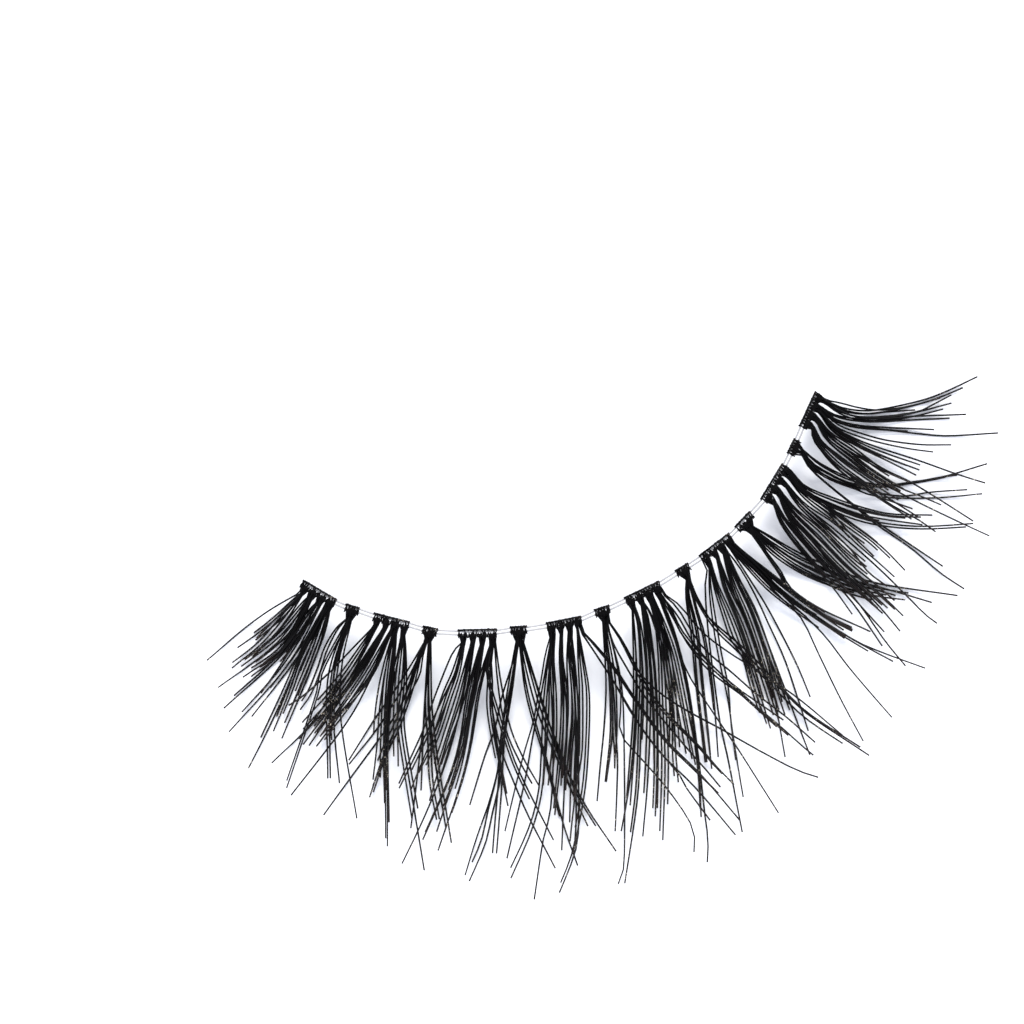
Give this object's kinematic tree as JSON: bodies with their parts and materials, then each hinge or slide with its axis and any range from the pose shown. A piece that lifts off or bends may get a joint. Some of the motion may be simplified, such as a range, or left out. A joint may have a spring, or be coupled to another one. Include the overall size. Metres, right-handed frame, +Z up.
{
  "type": "false eyelash strip",
  "caption": "False eyelash strip: fans of fine black fibre knotted onto two clear threads, a bendable band that is glued along the edge of an upper eyelid.",
  "frame": {"origin": "on the surface it rests on, under the middle of the strip's bounding box", "axes": "+X along the strip's length, from its low lash end to its high band end, as the picture's right; +Y across it, from the lash tips to the band's back, as the picture's up; +Z up from the surface"},
  "size_m": [0.0416, 0.0274, 0.003],
  "materials": {
    "lash_fibre": "black synthetic fibre, satin",
    "band_thread": "clear drawn nylon, glossy"
  },
  "bodies": {
    "root": {"long_lash_1": "lash_fibre", "long_lash_2": "lash_fibre", "long_lash_3": "lash_fibre", "long_lash_4": "lash_fibre", "long_lash_5": "lash_fibre", "long_lash_6": "lash_fibre", "long_lash_7": "lash_fibre", "long_lash_8": "lash_fibre", "short_lash_1": "lash_fibre", "short_lash_2": "lash_fibre", "short_lash_3": "lash_fibre", "short_lash_4": "lash_fibre", "short_lash_5": "lash_fibre", "short_lash_6": "lash_fibre", "short_lash_7": "lash_fibre", "inner_thread": "band_thread", "outer_thread": "band_thread"}
  },
  "joints": []
}
